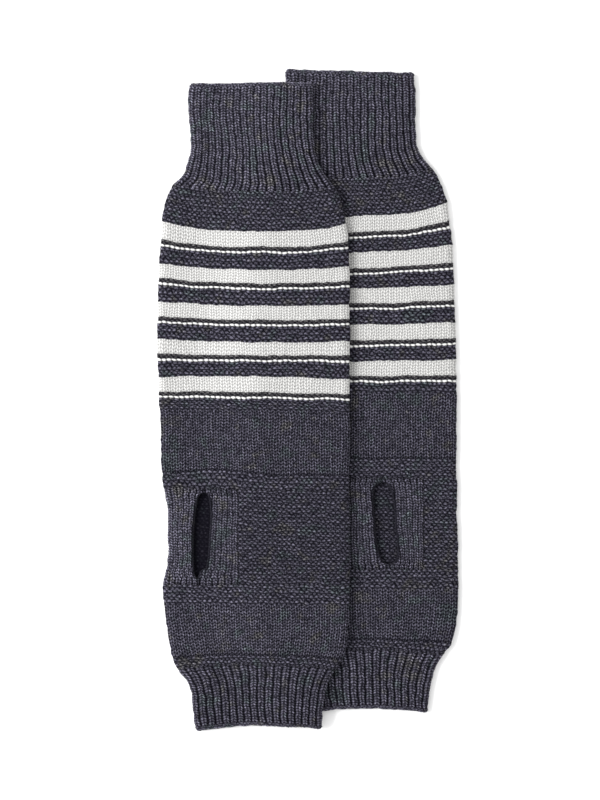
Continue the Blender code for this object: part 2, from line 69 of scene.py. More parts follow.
# Rows of a warmer's outline: distance below the top edge, X of the middle, half width,
# how far the sides run above the middle, and how far the right side runs lower
backWarmer = {
    "name": "back",
    "top": 0.2570,  # Y of the middle of its calf end
    "under": None,  # the warmer it lies on
    "seed": 11,
    "light": {"calf_cuff": 1.09, "heel_wall": 0.92},  # painted light and shade of each piece, times its marks, 1 if not named
    "waves": [],
    "outline": np.array([
        (0, 0.0333, 0.0501, 0, 0.0013), (0.015, 0.0333, 0.0509, 0, 0.0008),
        (0.051, 0.0335, 0.0515, 0.0012, 0), (0.062, 0.0339, 0.052, 0.0031, 0),
        (0.0735, 0.0351, 0.0546, 0.0055, -0.0008), (0.084, 0.0374, 0.0595, 0.0078, -0.0012),
        (0.093, 0.0387, 0.0628, 0.0086, -0.002), (0.1035, 0.0399, 0.0652, 0.009, -0.0027),
        (0.1145, 0.041, 0.068, 0.009, -0.0029), (0.1285, 0.0413, 0.0702, 0.0062, -0.0026),
        (0.142, 0.0413, 0.0715, 0.0039, -0.0023), (0.17, 0.0413, 0.0732, 0.0023, -0.0012),
        (0.1975, 0.0414, 0.0741, 0.0016, -0.0006), (0.2265, 0.0416, 0.0745, 0.0005, -0.0008),
        (0.2555, 0.0417, 0.0745, 0, 0), (0.318, 0.0417, 0.0745, 0, 0),
        (0.354, 0.0421, 0.0746, 0, 0), (0.389, 0.0425, 0.0748, 0, 0),
        (0.405, 0.0428, 0.075, 0, 0), (0.4245, 0.0429, 0.0739, -0.0008, 0),
        (0.438, 0.0433, 0.0712, -0.0023, 0), (0.444, 0.0437, 0.0686, -0.0031, 0),
        (0.4516, 0.0436, 0.0625, -0.0047, 0), (0.46, 0.044, 0.0565, -0.0051, 0),
        (0.469, 0.0444, 0.0529, -0.0047, 0), (0.483, 0.0448, 0.0502, -0.0043, 0),
        (0.498, 0.0456, 0.0484, -0.0035, 0),
    ]),
    # Each zone of knit and how far down it ends
    "zones": [
        ("rib", 0.0839), ("garter", 0.1141), ("white", 0.1262), ("stripe", 0.1422),
        ("white", 0.1545), ("stripe", 0.1704), ("white", 0.1818), ("stripe", 0.1989),
        ("white", 0.2107), ("stripe", 0.2271), ("white", 0.2387), ("stripe", 0.2523),
        ("plain", 0.3030), ("garter", 0.3179), ("heel", 0.3892), ("garter", 0.4052),
        ("plain", 0.4442), ("garter", 0.4516), ("rib", 0.4980),
    ],
    # The ribbed patch's borders (None is the fold), the slot's middle, half height, half width
    # and X gained per Y, the painted shade of the knit inside it, and a knob's width at its foot end
    "heel": {"left": 0.0296, "right": 0.0910, "x": 0.0611, "y": -0.0962,
             "reach": 0.0318, "half": 0.0080, "lean": -0.085, "inside": 0.66,
             "knob": 0.0},
}

# On its right the back warmer's cloth lies a little further out than its solid
rightOut = 0.0012
backWarmer["outline"][:, 1:3] += rightOut / 2

frontWarmer = {
    "name": "front",
    "top": 0.2473,
    "under": backWarmer,
    "seed": 47,
    # Painted light and shade per piece; the ribs left of the slot lit, those right of it shaded
    "light": {"calf_cuff": 1.15, "heel_wall": 0.90, "rib_left": 1.27, "rib_right": 0.90,
              "foot": 1.05, "foot_cuff": 0.94},
    # Where the rows wave: middle X and Y, how far they move along, reach in X and Y
    "waves": [(-0.068, -0.058, 0.0024, 0.018, 0.009),
              (-0.024, -0.058, -0.0016, 0.012, 0.009),
              (-0.112, -0.058, -0.0011, 0.014, 0.009)],
    "outline": np.array([
        (0, -0.0433, 0.0488, 0, 0), (0.0055, -0.0438, 0.0493, 0, 0),
        (0.042, -0.0433, 0.0488, 0.0008, 0), (0.0555, -0.0422, 0.0496, 0.002, 0.0004),
        (0.0685, -0.0413, 0.053, 0.0035, 0.0008), (0.079, -0.0406, 0.0579, 0.0049, 0.0013),
        (0.085, -0.0416, 0.0628, 0.0055, 0.0016), (0.095, -0.0418, 0.0678, 0.0066, 0.0016),
        (0.1055, -0.0415, 0.0708, 0.0073, 0.0014), (0.116, -0.0416, 0.0726, 0.0073, 0.0013),
        (0.1305, -0.0411, 0.0738, 0.0057, 0.0013), (0.1455, -0.0413, 0.0748, 0.0041, 0.0013),
        (0.1735, -0.0416, 0.0753, 0.0026, 0.0013), (0.2015, -0.0421, 0.0761, 0.0016, 0.0009),
        (0.2285, -0.0415, 0.0755, -0.0008, 0.0009), (0.256, -0.0408, 0.0747, -0.0008, 0.0012),
        (0.3055, -0.0402, 0.0738, 0, 0.0017), (0.3175, -0.0397, 0.0732, 0, 0.0016),
        (0.329, -0.0382, 0.0717, 0, 0.0016), (0.354, -0.0378, 0.0714, 0, 0.0016),
        (0.38, -0.0382, 0.0718, 0, 0.0008), (0.3915, -0.0397, 0.0733, 0, 0.0004),
        (0.407, -0.0396, 0.0732, -0.0004, 0), (0.425, -0.0385, 0.0712, -0.0014, 0),
        (0.439, -0.0383, 0.069, -0.0025, 0), (0.446, -0.0384, 0.0667, -0.0033, 0),
        (0.4532, -0.0393, 0.0626, -0.0039, 0), (0.462, -0.0385, 0.0562, -0.0047, 0),
        (0.472, -0.0383, 0.0529, -0.0047, 0), (0.485, -0.0383, 0.0518, -0.0043, 0),
        (0.5015, -0.0371, 0.0499, -0.0035, -0.0008),
    ]),
    "zones": [
        ("rib", 0.0850), ("garter", 0.1162), ("white", 0.1286), ("stripe", 0.1464),
        ("white", 0.1568), ("stripe", 0.1745), ("white", 0.1853), ("stripe", 0.2027),
        ("white", 0.2127), ("stripe", 0.2296), ("white", 0.2413), ("stripe", 0.2558),
        ("plain", 0.3050), ("garter", 0.3175), ("heel", 0.3916), ("garter", 0.4072),
        ("plain", 0.4462), ("garter", 0.4532), ("rib", 0.5015),
    ],
    "heel": {"left": None, "right": -0.0536, "x": -0.0822, "y": -0.1063,
             "reach": 0.0327, "half": 0.0060, "lean": 0.050, "inside": 0.10,
             "knob": 0.0042},
}

# The stitches: length of a row, and the rows of mesh in one, on top and underneath. turn is the
# ridge under a white band and dash the row of white dashes under that
stitchLook = {
    "rib": {"length": 0.0021, "rows": 4, "underRows": 2},
    "garter": {"length": 0.0037, "rows": 6, "underRows": 3},
    "white": {"length": 0.0023, "rows": 4, "underRows": 2},
    "plain": {"length": 0.0024, "rows": 4, "underRows": 2},
    "turn": {"length": 0.0028, "rows": 4, "underRows": 2},
    "dash": {"length": 0.0022, "rows": 4, "underRows": 2},
}
kinds = list(stitchLook)
knitLook = {
    "wales": 37,  # columns of stitches across one panel
    "waleColumns": 6,  # columns of mesh in one wale, on top and underneath
    "underColumns": 2,
    "underShift": 0.25,  # sets the underside's few columns on the yarn, not between it
    "ribColumns": 8,  # columns of mesh in one rib, on top and underneath
    "ribUnderColumns": 4,
    "innerColumns": 18,  # columns of mesh across a panel's inner wall
    "innerStep": 0.008,  # length of its rows
    "dashWhite": 2.2,  # how steeply a dash turns white from its edge
    "ridgeLight": 0.96,  # of the dark ridge, beside the other dark knit
    "depth": 1.7,  # above 1 the painted shade between the stitches is wider
    "shade": (0.55, 0.0009, 0.0011),  # painted shade of the last plain row before garter: depth, place, reach
    "thinBand": 0.0008,  # a band of knit shorter than this is left out
    "bound": (0.0030, 0.0006, 0.9),  # the bound row along a cuff's open end: width, blend, relief
    "round": (0.0022, 0.45),  # where its rounding starts, and the thickness left at the end
    "underRelief": 0.7,  # height of the underside's stitches, times those on top
    "fold": (0.35, 0.005),  # relief of the stitches at a fold, and how far in it is full
    "stitchHeight": 0.0009,  # of plain, garter and dash stitches
    "stitchSeed": 5,  # added to the warmer's seed for its stitches
}
evenGrooves = (1.0, 1.0, 0.0)  # depth of the ribs' grooves as knitTube's notes say
insideMarks = np.array([0.35, 0.5, 0.0, 0.0])  # the plain inside, a little dark

# How a hand-knitted surface wanders: axis, distance, length of the wave and its seed
wanderWaves = [
    (0, 0.00045, 0.0340, 0), (0, 0.00026, 0.0100, 1), (0, 0.00016, 0.0052, 5),
    (1, 0.00040, 0.0300, 2), (1, 0.00024, 0.0090, 3), (1, 0.00014, 0.0050, 6),
    (2, 0.00022, 0.0400, 4),
]


# Interpolates a table with a smooth curve through its rows (cubic, slopes from neighbours)
def smoothTable(tableX, tableY, x):
    slopes = np.gradient(tableY, tableX)
    i = np.clip(np.searchsorted(tableX, x) - 1, 0, len(tableX) - 2)
    step = tableX[i + 1] - tableX[i]
    u = np.clip((x - tableX[i]) / step, 0.0, 1.0)
    start = (1 + 2 * u) * (1 - u) ** 2 * tableY[i] + u * (1 - u) ** 2 * step * slopes[i]
    finish = u * u * (3 - 2 * u) * tableY[i + 1] + u * u * (u - 1) * step * slopes[i + 1]
    return start + finish


# One column of a warmer's outline at a distance below its top edge
def outlineAt(warmer, column, down):
    table = warmer["outline"]
    return smoothTable(table[:, 0], table[:, column], np.asarray(down, dtype=float))


# A small bow is a parabola, a big one stays flat in the middle and rises near the sides
def yOf(warmer, down, q):
    bow = outlineAt(warmer, 3, down)
    flat = np.clip((bow - form["parabolaBow"]) / (form["flatBow"] - form["parabolaBow"]), 0.0, 1.0)
    rise = (1 - flat) * q ** 2 + flat * q ** 4
    return warmer["top"] - down + bow * rise - outlineAt(warmer, 4, down) * q


# Length of a warmer: where its last zone ends
def lengthOf(warmer):
    return warmer["zones"][-1][1]


# X of the left side at each Y
def leftSide(warmer, y):
    down = np.linspace(lengthOf(warmer), 0.0, form["sideSteps"])
    side = outlineAt(warmer, 1, down) - outlineAt(warmer, 2, down)
    return np.interp(y, yOf(warmer, down, -1.0), side)


# 0 below 0, 1 above 1 and between them three squares less two cubes, level at both ends
def smoothStep(u):
    u = np.clip(u, 0.0, 1.0)
    return u * u * (3 - 2 * u)


# Height of what the warmer lies on: a smooth climb to the rest height, across and along
def liftAt(warmer, x, y):
    under = warmer["under"]
    if under is None:
        return np.zeros_like(x)
    full = leftSide(under, y) - form["rampLead"]
    across = smoothStep((x - full + form["rampWidth"]) / form["rampWidth"])
    end = yOf(under, lengthOf(under), 1.0) - form["rampLead"]
    along = smoothStep((y - end + form["endRampWidth"]) / form["endRampWidth"])
    return form["restHeight"] * across * along


noiseLook = {"waves": 7, "least": 0.7, "spread": 0.8, "strength": 3.2}


# Sum of a few slanting waves with seeded angles, lengths and phases, about -1 to 1
def softNoise(x, y, wave, seed):
    rng = np.random.default_rng(seed)
    total = np.zeros_like(x)
    for angle, phase, stretch in rng.random((noiseLook["waves"], 3)):
        turn = math.tau * angle
        size = wave * (noiseLook["least"] + noiseLook["spread"] * stretch)
        total += np.sin(math.tau * ((x * math.cos(turn) + y * math.sin(turn)) / size + phase))
    return total / noiseLook["strength"]


# Angle against arc length on a quarter ellipse, from the fold to the flat
def foldArc(reach, rise):
    angle = np.linspace(0.0, math.pi / 2, form["arcSteps"])
    steps = np.hypot(np.diff(reach * np.cos(angle)), np.diff(rise * np.sin(angle)))
    return angle, np.append(0.0, np.cumsum(steps))


# Heights of a panel's layer: at the fold and on the flat, and the fold's rounding
def layerHeights(side, layer):
    if layer == "inner":
        flat = form["hollowTop"] if side == "upper" else form["lowerWall"]
        return form["fold"], flat, form["hollowRound"]
    if side == "upper":
        return form["fold"], form["hollowTop"] + form["valleyWall"], form["topRound"]
    return form["fold"], form["underRelief"], form["floorRound"]


# Half width of a layer; a cuff's corners are rounded off by a quarter circle
def layerHalf(warmer, layer, down):
    inset = form["sideWall"] if layer == "inner" else form["foldInset"]
    toEnd = np.minimum(down, lengthOf(warmer) - down)
    short = np.clip(form["cornerRound"] - toEnd, 0.0, form["cornerRound"])
    corner = form["cornerRound"] - np.sqrt(form["cornerRound"] ** 2 - short ** 2)
    return outlineAt(warmer, 2, down) - inset - corner


# A panel's heights, fold rounding, half width, angles and lengths along the fold's arc, and
# its length from fold to fold
def panelShape(warmer, down, side, layer):
    fold, flat, reach = layerHeights(side, layer)
    half = layerHalf(warmer, layer, down)
    angles, lengths = foldArc(reach, abs(flat - fold))
    return fold, flat, reach, half, angles, lengths, 2 * (half - reach + lengths[-1])


# Point of a panel. share runs 0 to 1 along the cloth from the left fold to the right one:
# a quarter ellipse at each fold and flat between them
def panelPoint(warmer, down, share, side, layer):
    fold, flat, reach, half, angles, lengths, around = panelShape(warmer, down, side, layer)
    run = share * around
    near = np.minimum(run, around - run)
    angle = np.interp(near, lengths, angles)
    inward = np.where(near < lengths[-1], reach * (1 - np.cos(angle)),
                      reach + near - lengths[-1])
    x = outlineAt(warmer, 1, down) + np.where(share < 0.5, -1, 1) * (half - inward)
    q = (x - outlineAt(warmer, 1, down)) / outlineAt(warmer, 2, down)
    y = yOf(warmer, down, q)
    z = fold + (flat - fold) * np.sin(angle) + liftAt(warmer, x, y)
    return np.stack(np.broadcast_arrays(x, y, z), axis=-1)


# The share at which a panel reaches a given X
def shareAt(warmer, down, x, side, layer):
    fold, flat, reach, half, angles, lengths, around = panelShape(warmer, down, side, layer)
    inward = half - np.abs(x - outlineAt(warmer, 1, down))
    angle = np.arccos(np.clip(1 - inward / reach, 0.0, 1.0))
    near = np.where(inward < reach, np.interp(angle, angles, lengths),
                    lengths[-1] + inward - reach)
    return np.where(x < outlineAt(warmer, 1, down), near, around - near) / around


# Lets a surface wander along X and Y by soft noise, and on top in height too, where the
# warmer's own waves also move the rows, each a bell curve of X and Y
def wander(warmer, points, onTop):
    x = points[..., 0]
    y = points[..., 1]
    moved = points.copy()
    for axis, distance, wave, seed in wanderWaves:
        if axis < 2 or onTop:
            moved[..., axis] += distance * softNoise(x, y, wave, warmer["seed"] + seed)
    if onTop:
        for middleX, middleY, move, reachX, reachY in warmer["waves"]:
            away = ((x - middleX) / reachX) ** 2 + ((y - middleY) / reachY) ** 2
            moved[..., 1] += move * np.exp(-away)
    return moved


# Outward normals of a grid whose rows run to -Y and whose columns run with the loop
def gridNormals(points):
    normal = np.cross(np.gradient(points, axis=0), np.gradient(points, axis=1))
    return normal / np.maximum(np.linalg.norm(normal, axis=-1, keepdims=True), 1e-12)


# Bands of one kind of knit between two distances down, each with its number of whole rows.
# A stripe is a dark ridge, a row of dashes and garter
def knitBands(warmer, start, end):
    bands = []
    zoneStart = 0.0
    for knit, zoneEnd in warmer["zones"]:
        a, b = max(zoneStart, start), min(zoneEnd, end)
        zoneStart = zoneEnd
        if b - a < knitLook["thinBand"]:
            continue
        if knit == "stripe":
            dashStart = a + stitchLook["turn"]["length"]
            dashEnd = dashStart + stitchLook["dash"]["length"]
            bands += [("turn", a, dashStart), ("dash", dashStart, dashEnd), ("garter", dashEnd, b)]
        else:
            bands.append(("garter" if knit == "heel" else knit, a, b))
    return [(knit, a, b, max(1, round((b - a) / stitchLook[knit]["length"])))
            for knit, a, b in bands]


# Rows of mesh: distance down, kind of knit and place in stitches, counted down from the top
def meshRows(warmer, start, end, density):
    down, kind, place = [], [], []
    counted = 0
    for knit, a, b, count in knitBands(warmer, start, end):
        each = stitchLook[knit][density]
        steps = np.arange(count * each) / each
        down.append(a + (b - a) * steps / count)
        kind.append(np.full(len(steps), kinds.index(knit)))
        place.append(counted + steps)
        counted += count
    down = np.append(np.concatenate(down), end)
    kind = np.concatenate(kind)
    kind = np.append(kind, kind[-1])
    place = np.append(np.concatenate(place), counted)
    down[0] += form["pieceGap"] / 2
    down[-1] -= form["pieceGap"] / 2
    return down, kind, place


luckTable = (509, 251)  # rows and columns of stitches before their luck repeats


# Table lookup of one random number for each stitch
def stitchRandom(seed, v, u):
    rows, columns = luckTable
    table = np.random.default_rng(seed).random(luckTable)
    return table[np.floor(v).astype(int) % rows, np.floor(u).astype(int) % columns]


# Half an ovoid: 1 on its crest, falling to 0 at the edge of an oval of half widths 1
def dome(across, along):
    return np.clip(1 - across ** 2 - along ** 2, 0, 1)


# The stitches' shapes, in wales (or ribs) across and in rows along
yarnShape = {
    "leg": (0.54, 0.41),  # half width, times how far the pair reaches, and half length
    "plain": (0.5, 2.2),  # how far a pair of legs reaches, and its slant
    "dash": (0.60, 0.41, 0.10),  # half width, half length and slant
}
garterShape = {
    "light": 0.92,  # beside the plain knit
    "sway": (0.10, 2.7, 9.1),  # of the columns: how far, and the wave's rows and wales
    "waver": (0.08, 3.7, 0.31),  # of the rows: how far, the wave's wales, and its turn each row
    "off": 0.18,  # how far apart two bumps of a row may sit
    "bump": (0.20, 0.60, 0.53, 0.27),  # place in its row, arch, half width and half length
    "link": (0.78, 0.50, 0.48, 0.23),
    "linkLight": 0.78,
    "luck": 0.85,  # how much the stitches' lightness differs
}
ribShape = {
    "height": 0.00085,  # metres a rib stands over a groove of depth 1
    "legHeight": 0.00045,  # metres a yarn leg stands over the rib
    "flank": (0.10, 0.07),  # width of a rib's side, and how much wider in a deep groove
    "flankLight": 0.08,  # painted shade between the legs of a rib
    "legs": (0.46, -1.7),
    "purl": (0.16, 0.42),
    "purlLight": (0.70, 0.45),  # and how much less in a deep groove: painted shade
}


# The two yarn legs of a column of knit stitches, one on each side of its middle, each a
# slanting oval. a is the distance from the middle and slant the rows a leg climbs per a
def yarnLegs(a, v, reach, slant):
    climb = v + slant * a
    wide, long = yarnShape["leg"]
    return climb, dome((a - reach / 2) / (reach * wide), (climb % 1 - 0.5) / long)


# Height of a stitch: the square root of its shade, and up to a fifth more or less by its luck
def stitchHeight(shade, luck=0.5):
    return knitLook["stitchHeight"] * np.sqrt(shade) * (0.8 + 0.4 * luck)


# Plain knit: V's that point down, with a hole in the mouth of each
def plainStitch(u, v, seed):
    climb, shade = yarnLegs(np.abs(u % 1 - 0.5), v, *yarnShape["plain"])
    luck = stitchRandom(seed, climb, 2 * u)
    return stitchHeight(shade, luck), shade, luck


# Garter: rows of arched bumps that touch, one a wale, and between the rows lower links half
# a wale over that arch the other way. The rows waver and each bump sits a little off
def garterStitch(u, v, seed):
    far, rows, wales = garterShape["sway"]
    u = u + far * np.sin(math.tau * (v / rows + u / wales))
    far, wales, turn = garterShape["waver"]
    row = v + far * np.sin(math.tau * (u / wales + turn * np.floor(v)))
    off = garterShape["off"] * (stitchRandom(seed + 3, row, u) - 0.5)
    across = u % 1 - 0.5
    place, arch, wide, long = garterShape["bump"]
    along = row - place - arch * across ** 2 - off
    bump = dome(across / wide, ((along + 0.5) % 1 - 0.5) / long)
    across = (u + 0.5) % 1 - 0.5
    place, arch, wide, long = garterShape["link"]
    along = row % 1 - place + arch * across ** 2 - off
    link = garterShape["linkLight"] * dome(across / wide, along / long)
    luck = 0.5 + garterShape["luck"] * (stitchRandom(seed, 2 * row, 2 * u + 0.5) - 0.5)
    shade = np.maximum(bump, link)
    return stitchHeight(shade, luck), shade * garterShape["light"], luck


# Rib: u counts ribs. A raised column of knit stitches whose legs slant down and outwards,
# and small purl bumps deep in the groove between two ribs. depth is 1 for a deep groove
def ribStitch(u, v, seed, depth):
    a = np.abs(u % 1 - 0.5)
    flank, deeper = ribShape["flank"]
    column = smoothStep((0.5 - a) / (flank + deeper * depth))
    climb, leg = yarnLegs(a, v, *ribShape["legs"])
    luck = stitchRandom(seed, climb, 2 * u)
    wide, long = ribShape["purl"]
    light, less = ribShape["purlLight"]
    purl = (light - less * depth) * dome((0.5 - a) / wide, ((v + 0.5) % 1 - 0.5) / long)
    low = ribShape["flankLight"]
    shade = np.maximum(column * (low + (1 - low) * leg), purl * (0.4 + luck))
    height = ribShape["height"] * (1 - depth + depth * column)
    return height + ribShape["legHeight"] * np.sqrt(leg) * (0.7 + 0.6 * luck), shade, luck


# The dashes: slightly slanting white bumps that nearly touch
def dashStitch(u, v, seed):
    across = u % 1 - 0.5
    wide, long, slant = yarnShape["dash"]
    bump = dome(across / wide, (v % 1 - 0.5 - slant * across) / long)
    return stitchHeight(bump), bump, stitchRandom(seed, v, u)


# Height of the stitches on a grid, and their marks: painted shade in their grooves, luck, white share
# and olive share.
# u counts wales across (ribs on a cuff) and v rows along, and kind is each row's knit
def stitchRelief(kind, u, v, seed, grooves=evenGrooves):
    shape = np.broadcast(kind[:, None], u, v).shape
    across = np.broadcast_to(u, shape)
    along = np.broadcast_to(v, shape)
    height = np.zeros(shape)
    marks = np.zeros(shape + (4,))
    for index, knit in enumerate(kinds):
        rows = kind == index
        if not rows.any():
            continue
        a, b = across[rows], along[rows]
        if knit == "rib":
            depth = grooves[0] + (grooves[1] - grooves[0]) * b / b.max()
            depth = depth * (1 + grooves[2] * (a / a.max() - 0.5))
            relief, shade, luck = ribStitch(a, b, seed, depth)
        elif knit == "dash":
            relief, shade, luck = dashStitch(a, b, seed)
            marks[rows, :, 2] = smoothStep(shade * knitLook["dashWhite"])
        elif knit in ("garter", "turn"):
            relief, shade, luck = garterStitch(a, b, seed)
            if knit == "turn":
                shade = shade * knitLook["ridgeLight"]
                marks[rows, :, 3] = 1.0
        else:
            relief, shade, luck = plainStitch(a, b, seed)
            marks[rows, :, 2] = 1.0 if knit == "white" else 0.0
        height[rows] = relief
        # Painted shade: the colour is darkened between the stitches, where their grooves lie in shade
        marks[rows, :, 0] = shade ** knitLook["depth"]
        marks[rows, :, 1] = luck
    return height, marks


# Collects grids of points and the strips between them into one closed mesh
class Cloth:
    def __init__(self, light=1.0):
        self.light = light
        self.points = []
        self.marks = []
        self.quads = []
        self.tris = [np.zeros((0, 3), int)]
        self.flatTris = [np.zeros((0, 3), int)]
        self.count = 0

    # Adds a grid of points, with quads between them that face out, or in where inward is set
    def grid(self, points, marks, inward=False):
        index = np.arange(points.shape[0] * points.shape[1]).reshape(points.shape[:2]) + self.count
        self.count += index.size
        self.points.append(points.reshape(-1, 3))
        marks = np.broadcast_to(marks, points.shape[:2] + (4,)).reshape(-1, 4)
        # Painted light and shade: the piece's lightness times its shade mark
        self.marks.append(marks * (self.light, 1.0, 1.0, 1.0))
        corners = [index[:-1, :-1], index[1:, :-1], index[1:, 1:], index[:-1, 1:]]
        if inward:
            corners.reverse()
        self.quads.append(np.stack([c.ravel() for c in corners], axis=1))
        return index

    # Triangles between two lines of points: each step of one goes to the other's nearest point
    def strip(self, first, firstPlace, second, secondPlace, flat=False):
        firstMiddle = (firstPlace[1:] + firstPlace[:-1]) / 2
        secondMiddle = (secondPlace[1:] + secondPlace[:-1]) / 2
        across = second[np.searchsorted(secondMiddle, firstMiddle, side="left")]
        back = first[np.searchsorted(firstMiddle, secondMiddle, side="right")]
        triangles = np.concatenate([np.stack([first[:-1], first[1:], across], axis=1),
                                    np.stack([back, second[1:], second[:-1]], axis=1)])
        (self.flatTris if flat else self.tris).append(triangles)

    # Makes the mesh, smooth but for the strips that close an end
    def build(self, name, material):
        points = np.concatenate(self.points)
        quads = np.concatenate(self.quads)
        tris = np.concatenate(self.tris)
        flats = np.concatenate(self.flatTris)
        mesh = bpy.data.meshes.new(name)
        mesh.vertices.add(len(points))
        mesh.vertices.foreach_set("co", points.astype(np.float32).ravel())
        corners = np.concatenate([quads.ravel(), tris.ravel(), flats.ravel()])
        sizes = np.concatenate([np.full(len(quads), 4), np.full(len(tris) + len(flats), 3)])
        mesh.loops.add(len(corners))
        mesh.loops.foreach_set("vertex_index", corners.astype(np.int32))
        mesh.polygons.add(len(sizes))
        mesh.polygons.foreach_set("loop_start", np.append(0, np.cumsum(sizes)[:-1]).astype(np.int32))
        smooth = np.ones(len(sizes), bool)
        smooth[len(quads) + len(tris):] = False
        mesh.polygons.foreach_set("use_smooth", smooth)
        mesh.update(calc_edges=True)
        mesh.validate()
        marks = mesh.attributes.new("stitch", "FLOAT_COLOR", "POINT")
        marks.data.foreach_set("color", np.concatenate(self.marks).astype(np.float32).ravel())
        mesh.materials.append(material)
        piece = bpy.data.objects.new(name, mesh)
        bpy.context.scene.collection.objects.link(piece)
        print("knitted", name, "-", 2 * len(quads) + len(tris) + len(flats), "triangles")
        return piece


# Turns a cuff's last stitches into one bound row of small garter bumps, and gives how full
# the cloth is at each row: a quarter circle that falls to 0 at the end
def boundEdge(warmer, down, u, height, marks, end):
    away = np.abs(down - end)
    row, blend, relief = knitLook["bound"]
    chain, shade, luck = garterStitch(2 * u, (away / row)[:, None], warmer["seed"])
    bound = smoothStep((row - away) / blend)[:, None]
    marks[..., 0] += (shade - marks[..., 0]) * bound
    marks[..., 1] += (luck - marks[..., 1]) * bound
    height += (relief * chain - height) * bound
    return np.sqrt(1 - (1 - np.clip(away / knitLook["round"][0], 0, 1)) ** 2)


# The place along the loop of each column of a panel, the lower ones running back
def loopPlaces(share, shape, side, loopStart):
    columns = np.mean(np.broadcast_to(share, shape), axis=0)
    return loopStart + (1 - columns[::-1] if side == "lower" else columns)


# One stitched outer layer of a panel, with the place of each column along the loop. The
# stitches stand out along the surface's normal and get lower at the folds
def stitchedPanel(cloth, warmer, side, rows, share, u, loopStart, openEnds=(), grooves=evenGrooves):
    down, kind, place = rows
    base = wander(warmer, panelPoint(warmer, down[:, None], share, side, "outer"), side == "upper")
    seed = warmer["seed"] + knitLook["stitchSeed"]
    height, marks = stitchRelief(kind, u, place[:, None], seed, grooves)
    # Painted shade: the last plain row before each garter band is darkened
    dark, before, reach = knitLook["shade"]
    for knit, end in warmer["zones"]:
        if knit == "plain":
            marks[..., 0] *= 1 - dark * np.exp(-((down - end + before) / reach) ** 2)[:, None]
    toFold = np.minimum(share, 1 - share) * 2 * layerHalf(warmer, "outer", down)[:, None]
    low, reach = knitLook["fold"]
    height *= low + (1 - low) * smoothStep(toFold / reach)
    full = np.ones(len(down))
    for end in openEnds:
        full = np.minimum(full, boundEdge(warmer, down, u, height, marks, end))
    if side == "lower":
        base = base[:, ::-1]
        height = height[:, ::-1] * knitLook["underRelief"]
        marks = marks[:, ::-1]
    points = base + gridNormals(base) * height[..., None]
    if openEnds:
        fold = form["fold"] + liftAt(warmer, base[..., 0], base[..., 1])
        thin = knitLook["round"][1]
        points[..., 2] = fold + (points[..., 2] - fold) * (thin + (1 - thin) * full[:, None])
    return cloth.grid(points, marks), loopPlaces(share, base.shape[:2], side, loopStart), down


# One plain inner layer of a panel, in the same form
def plainPanel(cloth, warmer, side, down, share, loopStart):
    base = wander(warmer, panelPoint(warmer, down[:, None], share, side, "inner"), False)
    if side == "lower":
        base = base[:, ::-1]
    index = cloth.grid(base, insideMarks, inward=True)
    return index, loopPlaces(share, base.shape[:2], side, loopStart), down


# Joins the panels of one layer side by side, and in a closed loop the last to the first
def joinPanels(cloth, layer, inward, closed):
    after = layer[1:] + layer[:1] if closed else layer[1:]
    for (a, _, aRows), (b, _, bRows) in zip(layer, after):
        if inward:
            cloth.strip(b[:, 0], bRows, a[:, -1], aRows)
        else:
            cloth.strip(a[:, -1], aRows, b[:, 0], bRows)


# Closes both ends of a tube or an open band between its two layers
def closeEnds(cloth, outer, inner, closed):
    for row in (0, -1):
        rims = []
        for layer in (outer, inner):
            line = np.concatenate([index[row] for index, _, _ in layer])
            place = np.concatenate([columns for _, columns, _ in layer])
            if closed:
                line = np.append(line, line[0])
                place = np.append(place, place[0] + 2)
            rims.append((line, place))
        closeRims(cloth, rims, row)


# Closes one end between two rims, each a line of points and their places
def closeRims(cloth, rims, row):
    (a, aPlace), (b, bPlace) = rims if row == 0 else rims[::-1]
    cloth.strip(a, aPlace, b, bPlace, flat=True)


# Even rows about a step apart between two distances down, half a gap in at each end
def innerRows(start, end, step):
    gap = form["pieceGap"] / 2
    return np.linspace(start + gap, end - gap, max(2, round((end - start) / step)))


# A stretch of flat tube between two distances down. A cuff's look gives its ribs across and
# its grooves' depth at the calf end, at the foot end and how much it grows left to right
def knitTube(warmer, look, start, end, material, openEnds=()):
    cloth = Cloth(warmer["light"].get(look["name"], 1.0))
    rows = meshRows(warmer, start, end, "rows")
    under = meshRows(warmer, start, end, "underRows")
    if "ribs" in look:
        count, grooves, shift = look["ribs"], look["grooves"], 0.0
        each, underEach = knitLook["ribColumns"], knitLook["ribUnderColumns"]
    else:
        count, grooves, shift = knitLook["wales"], evenGrooves, knitLook["underShift"]
        each, underEach = knitLook["waleColumns"], knitLook["underColumns"]
    share = np.arange(count * each + 1) / (count * each)
    shareUnder = np.arange(1, count * underEach) / (count * underEach)
    u, uUnder = share * count, shareUnder * count + shift
    outer = [stitchedPanel(cloth, warmer, "upper", rows, share, u, 0.0, openEnds, grooves),
             stitchedPanel(cloth, warmer, "lower", under, shareUnder, uUnder, 1.0, openEnds, grooves)]
    down = innerRows(start, end, knitLook["innerStep"])
    shareInner = np.linspace(0.0, 1.0, knitLook["innerColumns"] + 1)
    inner = [plainPanel(cloth, warmer, "upper", down, shareInner, 0.0),
             plainPanel(cloth, warmer, "lower", down, shareInner[1:-1], 1.0)]
    joinPanels(cloth, outer, False, True)
    joinPanels(cloth, inner, True, True)
    closeEnds(cloth, outer, inner, True)
    finishPiece(cloth, warmer, look, material)


# Builds the mesh, hangs it under the root body and hides the CAD node it stands for
def finishPiece(cloth, warmer, look, material):
    node = warmer["name"] + "_" + look["name"]
    piece = cloth.build(node + "_knit", material)
    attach(piece, "root")
    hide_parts(node)


heelWallLook = {
    "name": "heel_wall",
    "innerRight": 7,  # columns of mesh of the inside, right and left of the patch
    "innerLeft": 5,
    "window": (0.014, 50, 14),  # under the slot: reach of the fine columns, how many, and beside them
    "floorSeed": 9,
    "floorRelief": 0.35,  # height of the stitches inside, times those on top
    "edge": (0.35, 0.6),  # painted shade: how much darker they get under the slot's edge, and from where
}


